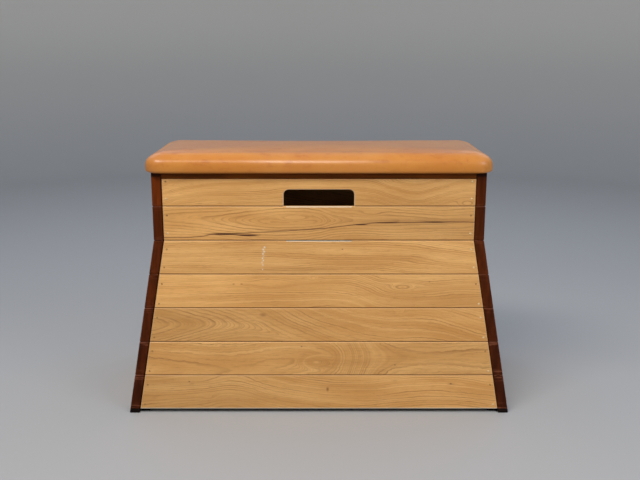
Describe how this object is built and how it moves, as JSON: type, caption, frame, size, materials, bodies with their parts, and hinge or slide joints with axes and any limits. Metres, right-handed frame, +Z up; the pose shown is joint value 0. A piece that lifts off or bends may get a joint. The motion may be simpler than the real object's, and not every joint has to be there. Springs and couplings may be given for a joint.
{
  "type": "vaulting box",
  "caption": "Stacking wooden vaulting box with a leather-padded lid, a hand slot in each long side of the lid, and lower tiers that flare out; every tier lifts off.",
  "frame": {"origin": "on the floor under the middle of the box", "axes": "+X along the box, -Y out of the front, +Z up"},
  "size_m": [1.5722, 0.741, 1.0735],
  "materials": {
    "board_wood": "pale hardwood boards under worn satin varnish",
    "stained_wood": "dark brown stain under worn satin varnish",
    "deck_plywood": "bare plywood",
    "padding": "pressed felt padding",
    "leather": "tan leather, smooth and slightly glossy with use"
  },
  "bodies": {
    "lid": {"lid_front_board": "board_wood", "lid_back_board": "board_wood", "lid_left_end_board": "board_wood", "lid_right_end_board": "board_wood", "lid_front_left_post": "stained_wood", "lid_front_right_post": "stained_wood", "lid_back_left_post": "stained_wood", "lid_back_right_post": "stained_wood", "lid_rail_frame": "stained_wood", "lid_deck": "deck_plywood", "lid_padding": "padding", "lid_leather_cover": "leather"},
    "tier_2": {"tier_2_front_board": "board_wood", "tier_2_back_board": "board_wood", "tier_2_left_end_board": "board_wood", "tier_2_right_end_board": "board_wood", "tier_2_front_left_post": "stained_wood", "tier_2_front_right_post": "stained_wood", "tier_2_back_left_post": "stained_wood", "tier_2_back_right_post": "stained_wood"},
    "tier_3": {"tier_3_front_board": "board_wood", "tier_3_back_board": "board_wood", "tier_3_left_end_board": "board_wood", "tier_3_right_end_board": "board_wood", "tier_3_front_left_post": "stained_wood", "tier_3_front_right_post": "stained_wood", "tier_3_back_left_post": "stained_wood", "tier_3_back_right_post": "stained_wood"},
    "tier_4": {"tier_4_front_board": "board_wood", "tier_4_back_board": "board_wood", "tier_4_left_end_board": "board_wood", "tier_4_right_end_board": "board_wood", "tier_4_front_left_post": "stained_wood", "tier_4_front_right_post": "stained_wood", "tier_4_back_left_post": "stained_wood", "tier_4_back_right_post": "stained_wood"},
    "tier_5": {"tier_5_front_board": "board_wood", "tier_5_back_board": "board_wood", "tier_5_left_end_board": "board_wood", "tier_5_right_end_board": "board_wood", "tier_5_front_left_post": "stained_wood", "tier_5_front_right_post": "stained_wood", "tier_5_back_left_post": "stained_wood", "tier_5_back_right_post": "stained_wood"},
    "tier_6": {"tier_6_front_board": "board_wood", "tier_6_back_board": "board_wood", "tier_6_left_end_board": "board_wood", "tier_6_right_end_board": "board_wood", "tier_6_front_left_post": "stained_wood", "tier_6_front_right_post": "stained_wood", "tier_6_back_left_post": "stained_wood", "tier_6_back_right_post": "stained_wood"},
    "tier_7": {"tier_7_front_board": "board_wood", "tier_7_back_board": "board_wood", "tier_7_left_end_board": "board_wood", "tier_7_right_end_board": "board_wood", "tier_7_front_left_post": "stained_wood", "tier_7_front_right_post": "stained_wood", "tier_7_back_left_post": "stained_wood", "tier_7_back_right_post": "stained_wood"}
  },
  "joints": [
    {"name": "tier_6_lift", "type": "slide", "parent": "tier_7", "child": "tier_6", "axis": [0, 0, 1], "range_m": [0, 0.12]},
    {"name": "tier_5_lift", "type": "slide", "parent": "tier_6", "child": "tier_5", "axis": [0, 0, 1], "range_m": [0, 0.12]},
    {"name": "tier_4_lift", "type": "slide", "parent": "tier_5", "child": "tier_4", "axis": [0, 0, 1], "range_m": [0, 0.12]},
    {"name": "tier_3_lift", "type": "slide", "parent": "tier_4", "child": "tier_3", "axis": [0, 0, 1], "range_m": [0, 0.12]},
    {"name": "tier_2_lift", "type": "slide", "parent": "tier_3", "child": "tier_2", "axis": [0, 0, 1], "range_m": [0, 0.12]},
    {"name": "lid_lift", "type": "slide", "parent": "tier_2", "child": "lid", "axis": [0, 0, 1], "range_m": [0, 0.12]}
  ]
}
